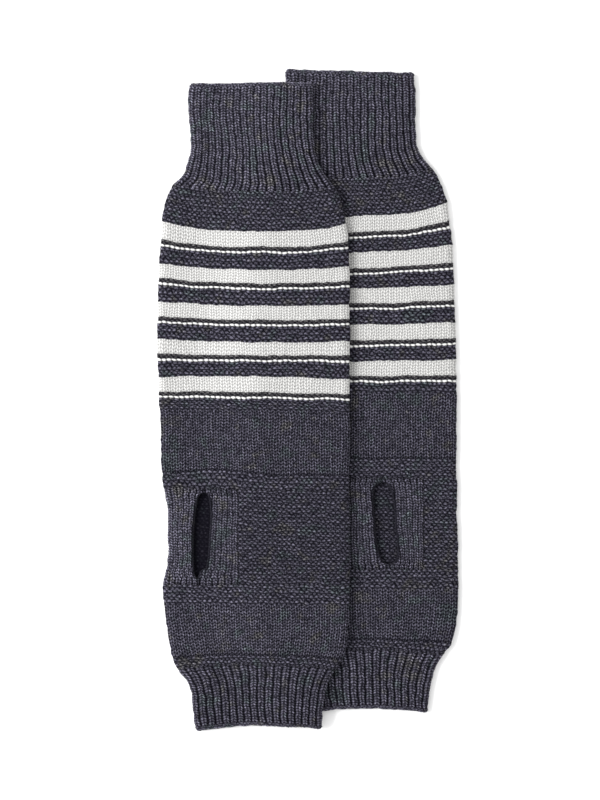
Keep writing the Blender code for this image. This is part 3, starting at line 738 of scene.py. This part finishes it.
# The garter stitches that show through the slot, on the inside of the underside
def slotFloor(cloth, warmer, look, rows, middle, lowerStop):
    heel = warmer["heel"]
    down, kind, place = rows
    reach, fine, beside = look["window"]
    a, b = shareAt(warmer, middle, heel["x"] + np.array([-reach, reach]), "lower", "inner")
    share = np.concatenate([np.linspace(0, a, beside)[lowerStop:], np.linspace(a, b, fine)[1:-1],
                            np.linspace(b, 1, beside)[:-1]])
    points = wander(warmer, panelPoint(warmer, down[:, None], share, "lower", "inner"), False)
    u = share * knitLook["wales"]
    height, marks = stitchRelief(kind, u, place[:, None], warmer["seed"] + look["floorSeed"])
    slotX = slotAt(warmer, warmer["top"] - down)[0]
    across = np.abs(points[..., 0] - slotX[:, None]) / heel["half"]
    # Painted shade under the slot's edges
    dark, start = look["edge"]
    # Painted shade: the knit inside the slot is darkened by the warmer's inside value
    marks[..., 0] *= heel["inside"] * (1 - dark * smoothStep((across - start) / (1 - start)))
    points[..., 2] += look["floorRelief"] * height
    index = cloth.grid(points[:, ::-1], marks[:, ::-1], inward=True)
    return index, 2 - share[::-1], down


# Both layers of the wall's top between the ribbed patch and one fold
def wallSide(cloth, warmer, look, rows, down, middle, left):
    border = warmer["heel"]["left" if left else "right"]
    at = float(shareAt(warmer, middle, border, "upper", "outer")[0])
    wales = round((at if left else 1 - at) * knitLook["wales"])
    columns = wales * knitLook["waleColumns"]
    border += form["pieceGap"] / (-2 if left else 2)

    def shares(layer, layerDown, count):
        at = shareAt(warmer, layerDown, border, "upper", layer)[:, None]
        step = np.linspace(0.0, 1.0, count + 1)
        return at * step if left else at + (1 - at) * step

    loopStart = 2.0 if left else 0.0
    u = np.arange(columns + 1) / knitLook["waleColumns"]
    share = shares("inner", down, look["innerLeft" if left else "innerRight"])
    shareOuter = shares("outer", rows[0], columns)
    return (stitchedPanel(cloth, warmer, "upper", rows, shareOuter, u, loopStart),
            plainPanel(cloth, warmer, "upper", down, share, loopStart))


# The heel's garter wall: an open band from the ribbed patch's right border round to its left
def knitHeelWall(warmer, look, start, end, material):
    cloth = Cloth(warmer["light"].get(look["name"], 1.0))
    heel = warmer["heel"]
    rows = meshRows(warmer, start, end, "rows")
    under = meshRows(warmer, start, end, "underRows")
    down = innerRows(start, end, stitchLook["garter"]["length"] / 2)
    middle = np.array([(start + end) / 2])
    sides = [wallSide(cloth, warmer, look, rows, down, middle, False)]
    lowerStop = 0 if heel["left"] is None else 1
    columns = knitLook["wales"] * knitLook["underColumns"]
    share = np.arange(lowerStop, columns) / columns
    u = share * knitLook["wales"] + knitLook["underShift"]
    sides.append((stitchedPanel(cloth, warmer, "lower", under, share, u, 1.0),
                  slotFloor(cloth, warmer, look, rows, middle, lowerStop)))
    if heel["left"] is not None:
        sides.append(wallSide(cloth, warmer, look, rows, down, middle, True))
    outer, inner = zip(*sides)
    joinPanels(cloth, outer, False, False)
    joinPanels(cloth, inner, True, False)
    (a, _, aRows), (b, _, bRows) = sides[0]
    cloth.strip(b[:, 0], bRows, a[:, 0], aRows, flat=True)
    (a, _, aRows), (b, _, bRows) = sides[-1]
    cloth.strip(a[:, -1], aRows, b[:, -1], bRows, flat=True)
    closeEnds(cloth, outer, inner, False)
    half = float(outlineAt(warmer, 2, middle)[0])
    left = heel["left"]
    if left is None:
        left = float(outlineAt(warmer, 1, middle)[0]) - half
    finishPiece(cloth, warmer, look, material)


heelRibLook = {
    "name": "heel_rib",
    "power": 3.2,  # how square the slot's ends are
    "knob": (0.0080, 0.0030, 1.4),  # top over the slot's foot end, slope, most in half widths
    "ribs": 5,  # on each side of the slot
    "lastCut": 0.1,  # share of the last rib that the slot takes
    "tip": (10, 0.0002),  # columns of mesh from there to the slot's edge, and least length
    "innerEvery": 7,  # columns of the top for each one of the inside
    "groove": (0.55, 0.75, 0.010),  # depth, how much deeper at the two ends, and how far in
    "lip": (0.0013, 0.6, 0.0001),  # reach into the slot: most, or a share of its half and more
    "lipMesh": 7,
    "lipLight": (0.10, 0.6),  # painted shade on the lip: its lightness, and half length of a stitch there, in rows
    "edge": (0.20, 0.0014),  # painted shade: lightness at the slot's edge, and over how much ribs it rises
    "hemShade": (0.35, 0.0018),  # painted shade, the same at the patch's foot end, in the groove before the garter
}


# X of the slot's middle and its half width at each Y: a leaning superellipse, with a knob
# of knit in the right side of its foot end
def slotAt(warmer, y):
    heel = warmer["heel"]
    power = heelRibLook["power"]
    top, slope, most = heelRibLook["knob"]
    along = np.clip(np.abs(y - heel["y"]) / heel["reach"], 0, 1)
    half = heel["half"] * (1 - along ** power) ** (1 / power)
    knob = heel["knob"] * smoothStep((heel["y"] - heel["reach"] + top - y) / slope)
    knob = np.minimum(knob, most * half)
    return heel["x"] + heel["lean"] * (y - heel["y"]) - knob / 2, half - knob / 2


# X and place in ribs of each column beside the slot: even ribs up to where the slot is widest,
# and a tip from there that follows its edge
def ribbonColumns(warmer, look, border, slotX, openHalf, lip, outward):
    half = warmer["heel"]["half"]
    count = look["ribs"] * knitLook["ribColumns"]
    step = np.arange(count + 1) / count
    ribEnd = (slotX + outward * (half + lip))[:, None]
    border = border[:, None]
    ribs = border + (ribEnd - border) * step
    columns, least = look["tip"]
    tip = ribEnd - outward * (half - openHalf + least)[:, None] * np.arange(1, columns + 1) / columns
    pitch = np.abs(ribEnd - border) / look["ribs"]
    last = look["ribs"] - look["lastCut"]
    x = np.concatenate([ribs, tip], axis=1)
    u = np.concatenate([np.broadcast_to(last * step, ribs.shape),
                        last + np.abs(tip - ribEnd) / pitch], axis=1)
    return (x, u) if outward < 0 else (x[:, ::-1], u[:, ::-1])


# One closed ribbon of ribs beside the slot: its top, a round lip at the slot and the inside
def knitRibbon(cloth, warmer, look, start, end, place, down, border, left):
    outward = -1 if left else 1
    slotX, openHalf = slotAt(warmer, warmer["top"] - down)
    most, part, more = look["lip"]
    lip = np.minimum(most, openHalf * part + more)
    x, u = ribbonColumns(warmer, look, border, slotX, openHalf, lip, outward)
    share = shareAt(warmer, down[:, None], x, "upper", "outer")
    base = wander(warmer, panelPoint(warmer, down[:, None], share, "upper", "outer"), True)
    toEnd = np.minimum(down - start, end - down)[:, None]
    depth, deeper, reach = look["groove"]
    depth = depth + deeper * smoothStep(1 - toEnd / reach)
    height, shade, luck = ribStitch(u, place[:, None], warmer["seed"] + left, depth)
    toSlot = np.abs(x - slotX[:, None]) - openHalf[:, None] - lip[:, None]
    # Painted light and shade: the left ribbon lighter, the right one darker
    shade = shade ** knitLook["depth"] * warmer["light"].get("rib_left" if left else "rib_right", 1.0)
    # Painted shade: the ribs darken towards the slot's edge and towards the patch's foot end
    for (light, reach), away in ((look["edge"], toSlot), (look["hemShade"], (end - down)[:, None])):
        shade = shade * (light + (1 - light) * smoothStep(away / reach))
    marks = np.stack([shade, luck, 0 * luck, 0 * luck], axis=-1)
    top = base + gridNormals(base) * height[..., None]

    inner = x[:, ::look["innerEvery"]]
    share = np.clip(shareAt(warmer, down[:, None], inner, "upper", "inner"), 0, 1)
    bottom = panelPoint(warmer, down[:, None], share, "upper", "inner")
    bottom[..., 0] = (np.maximum if left else np.minimum)(bottom[..., 0], inner)
    inside = np.broadcast_to(insideMarks, bottom.shape[:2] + (4,))

    # The lip is half an ellipse between the two layers
    side = -1 if left else 0
    turn = np.linspace(0, math.pi, look["lipMesh"] + 1)[1:-1]
    middle = (top[:, side] + bottom[:, side]) / 2
    span = (top[:, side] - bottom[:, side]) / 2
    lipPoints = middle[:, None] + span[:, None] * np.cos(turn)[:, None]
    lipPoints[..., 0] -= outward * lip[:, None] * np.sin(turn)
    light, long = look["lipLight"]
    # Painted shade: the lip is dark and fades to black as it turns down into the slot
    lipShade = light * dome(0, (place % 1 - 0.5) / long)[:, None] * np.cos(turn / 2) ** 4
    lipMarks = np.stack([lipShade, 0 * lipShade + 0.5, 0 * lipShade, 0 * lipShade], axis=-1)

    parts = [(top, marks), (lipPoints, lipMarks)]
    if not left:
        parts = [(lipPoints[:, ::-1], lipMarks[:, ::-1]), (top, marks)]
    points, marks = zip(*parts, (bottom[:, ::-1], inside))
    index = cloth.grid(np.concatenate(points, axis=1), np.concatenate(marks, axis=1))
    cloth.strip(index[:, -1], down, index[:, 0], down, flat=True)
    outside = top.shape[1] + len(turn)
    for row in (0, -1):
        lines = [index[row, :outside], index[row, outside:][::-1]]
        closeRims(cloth, [(line, np.linspace(0, 1, len(line))) for line in lines], row)


# The ribbed patch: a ribbon of ribs on each side of the slot
def knitHeelRib(warmer, look, start, end, material):
    cloth = Cloth()
    heel = warmer["heel"]
    gap = form["pieceGap"] / 2
    each = stitchLook["rib"]["rows"]
    count = round((end - start) / stitchLook["rib"]["length"])
    place = np.arange(count * each + 1) / each
    down = np.linspace(start + gap, end - gap, len(place))
    if heel["left"] is None:
        left = outlineAt(warmer, 1, down) - layerHalf(warmer, "outer", down)
    else:
        left = np.full_like(down, heel["left"] + gap)
    right = np.full_like(down, heel["right"] - gap)
    knitRibbon(cloth, warmer, look, start, end, place, down, left, True)
    knitRibbon(cloth, warmer, look, start, end, place, down, right, False)
    finishPiece(cloth, warmer, look, material)


woolLook = {
    "teal": (0.1030, 0.1200, 0.1310, 1.0),
    "navy": (0.1122, 0.1068, 0.1415, 1.0),
    "olive": (0.1295, 0.1250, 0.1260, 1.0),
    "white": (0.725, 0.721, 0.708, 1.0),
    "groove": (0.0021, 0.0018, 0.0041),  # what is left between the stitches
    "patches": (85.0, 3.0),  # noise scale of the soft colour patches, and its detail
    "mix": [(0.34, "teal"), (0.44, "navy"), (0.58, "navy"), (0.68, "olive")],
    "flecks": (1150.0, 2.0),  # the same of the light and dark flecks
    "fleckFrom": (0.34, 0.66),  # the stretch of that noise that counts, and the lightness it gives
    "fleckTo": (0.06, 1.94),
    "luckTo": (0.60, 1.48),  # lightness of the darkest and the lightest stitch
    "whiteTo": (0.40, 1.15),  # lightness of a white band's grooves and crests, from the painted shade mark
    "fibres": (2100.0, 2.0),  # the same noise of the fine bumps
    "bump": {"Strength": 0.35, "Distance": 0.0003},
    "surface": {"Roughness": 0.94, "Sheen Weight": 0.05, "Sheen Roughness": 0.5,
                "Specular IOR Level": 0.03},
}


# A new node: in_ and a number sets that input, any other name a property
def addNode(tree, kind, **values):
    node = tree.nodes.new(kind)
    for key, value in values.items():
        if key.startswith("in_"):
            node.inputs[int(key[3:])].default_value = value
        else:
            setattr(node, key, value)
    return node


# Noise in the place on the object, by its scale and detail
def addNoise(tree, place, grain):
    noise = addNode(tree, "ShaderNodeTexNoise", in_2=grain[0], in_3=grain[1])
    tree.links.new(place.outputs["Object"], noise.inputs["Vector"])
    return noise.outputs["Fac"]


# A value from one stretch made to run over another
def addRange(tree, value, reach, start=(0.0, 1.0)):
    node = addNode(tree, "ShaderNodeMapRange")
    tree.links.new(value, node.inputs["Value"])
    for name, number in zip(("From Min", "From Max", "To Min", "To Max"), (*start, *reach)):
        node.inputs[name].default_value = number
    return node.outputs[0]


# Two colours mixed by a factor; b is a socket or a colour
def addMix(tree, factor, a, b):
    node = addNode(tree, "ShaderNodeMix", data_type="RGBA")
    tree.links.new(factor, node.inputs["Factor"])
    tree.links.new(a, node.inputs["A"])
    if isinstance(b, tuple):
        node.inputs["B"].default_value = b
    else:
        tree.links.new(b, node.inputs["B"])
    return node.outputs["Result"]


# The product of two values
def addProduct(tree, a, b):
    node = addNode(tree, "ShaderNodeMath", operation="MULTIPLY")
    tree.links.new(a, node.inputs[0])
    tree.links.new(b, node.inputs[1])
    return node.outputs[0]


# Yarn colour, drifting in soft patches, times fleck, luck and the painted shade between the
# stitches, and a little left over in the grooves
def woolMaterial(name, hasWhite):
    material = bpy.data.materials.new(name)
    material.use_nodes = True
    tree = material.node_tree
    link = tree.links.new
    shader = tree.nodes["Principled BSDF"]
    bump = addNode(tree, "ShaderNodeBump")
    for node, look in ((shader, woolLook["surface"]), (bump, woolLook["bump"])):
        for key, value in look.items():
            node.inputs[key].default_value = value
    place = addNode(tree, "ShaderNodeTexCoord")
    stitch = addNode(tree, "ShaderNodeAttribute", attribute_name="stitch")
    parts = addNode(tree, "ShaderNodeSeparateColor")
    link(stitch.outputs["Color"], parts.inputs[0])
    drift = addNode(tree, "ShaderNodeValToRGB")
    link(addNoise(tree, place, woolLook["patches"]), drift.inputs[0])
    ramp = drift.color_ramp
    first, *between, last = woolLook["mix"]
    for element, (position, yarn) in zip(ramp.elements, (first, last)):
        element.position = position
        element.color = woolLook[yarn]
    for position, yarn in between:
        ramp.elements.new(position).color = woolLook[yarn]
    olive = addMix(tree, stitch.outputs["Alpha"], drift.outputs["Color"], woolLook["olive"])
    fleck = addNoise(tree, place, woolLook["flecks"])
    fleckLight = addRange(tree, fleck, woolLook["fleckTo"], woolLook["fleckFrom"])
    luckLight = addRange(tree, parts.outputs["Green"], woolLook["luckTo"])
    shade = addProduct(tree, addProduct(tree, fleckLight, luckLight), parts.outputs["Red"])
    yarn = addNode(tree, "ShaderNodeVectorMath", operation="MULTIPLY_ADD", in_2=woolLook["groove"])
    link(olive, yarn.inputs[0])
    link(shade, yarn.inputs[1])
    colour = yarn.outputs[0]
    if hasWhite:
        white = addNode(tree, "ShaderNodeVectorMath", operation="SCALE")
        white.inputs[0].default_value = woolLook["white"][:3]
        link(addRange(tree, parts.outputs["Red"], woolLook["whiteTo"]), white.inputs["Scale"])
        colour = addMix(tree, parts.outputs["Blue"], colour, white.outputs[0])
    link(colour, shader.inputs["Base Color"])
    link(addNoise(tree, place, woolLook["fibres"]), bump.inputs["Height"])
    link(bump.outputs[0], shader.inputs["Normal"])
    return material


studioLook = {
    "lens": 120.0,
    "sensor": 36.0,
    "clipEnd": 20.0,
    "viewHeight": 0.624,  # height of cloth level that the picture takes in
    "clothLevel": 0.006,
    "viewX": -0.0055,
    "floorHalf": 4.0,
    "floorColour": (0.95, 0.95, 0.95, 1.0),
    "floorRoughness": 0.9,
    "skyColour": (1.0, 1.0, 1.0, 1.0),
    "skyStrength": 1.065,
    "keyPower": 199.0,
    "keyPlace": (-2.90, 0.50, 2.05),
    "keySize": 2.0,
}


# A camera straight above, a white floor, a wide lamp facing the middle, and an even sky
def makeStudio():
    look = studioLook
    scene = bpy.context.scene
    camera = bpy.data.cameras.new("camera")
    camera.lens = look["lens"]
    camera.sensor_width = look["sensor"]
    away = look["viewHeight"] * look["lens"] / look["sensor"]
    eye = bpy.data.objects.new("camera", camera)
    eye.location = (look["viewX"], 0.0, look["clothLevel"] + away)
    camera.clip_end = look["clipEnd"]
    mesh = bpy.data.meshes.new("floor")
    far = look["floorHalf"]
    corners = [(-far, -far, 0), (far, -far, 0), (far, far, 0), (-far, far, 0)]
    mesh.from_pydata(corners, [], [(0, 1, 2, 3)])
    floor = bpy.data.objects.new("floor", mesh)
    paper = bpy.data.materials.new("paper")
    paper.use_nodes = True
    shader = paper.node_tree.nodes["Principled BSDF"]
    shader.inputs["Base Color"].default_value = look["floorColour"]
    shader.inputs["Roughness"].default_value = look["floorRoughness"]
    mesh.materials.append(paper)
    key = bpy.data.lights.new("key", "AREA")
    key.energy = look["keyPower"]
    key.size = look["keySize"]
    lamp = bpy.data.objects.new("key", key)
    lamp.location = look["keyPlace"]
    x, y, z = look["keyPlace"]
    lamp.rotation_euler = (math.atan2(math.hypot(x, y), z), 0.0, math.atan2(y, x) + math.pi / 2)
    for thing in (eye, floor, lamp):
        scene.collection.objects.link(thing)
    scene.camera = eye
    world = bpy.data.worlds.new("sky")
    world.use_nodes = True
    sky = world.node_tree.nodes["Background"]
    sky.inputs[0].default_value = look["skyColour"]
    sky.inputs[1].default_value = look["skyStrength"]
    scene.world = world
    scene.view_settings.view_transform = "Standard"


# The tubes' looks; knitTube's notes say what ribs and grooves are
legLook = {"name": "leg"}
calfCuffLook = {"name": "calf_cuff", "ribs": 19, "grooves": (0.85, 1.45, 0.5)}
footLook = {"name": "foot"}
footCuffLook = {"name": "foot_cuff", "ribs": 18, "grooves": (1.2, 1.6, 0.0)}

# The last zone of the calf cuff, the leg, the heel, the foot and the foot cuff
lastZones = (0, 13, 14, 17, 18)

makeStudio()
print("studio made")
charcoal = woolMaterial("charcoal wool", False)
striped = woolMaterial("striped wool", True)
for warmer in (backWarmer, frontWarmer):
    cuffEnd, legEnd, heelEnd, footEnd, length = [warmer["zones"][zone][1] for zone in lastZones]
    knitTube(warmer, legLook, cuffEnd, legEnd, striped)
    knitTube(warmer, calfCuffLook, 0.0, cuffEnd, charcoal, (0.0,))
    knitHeelWall(warmer, heelWallLook, legEnd, heelEnd, charcoal)
    knitHeelRib(warmer, heelRibLook, legEnd, heelEnd, charcoal)
    knitTube(warmer, footLook, heelEnd, footEnd, charcoal)
    knitTube(warmer, footCuffLook, footEnd, length, charcoal, (length,))
    print("warmer done:", warmer["name"])
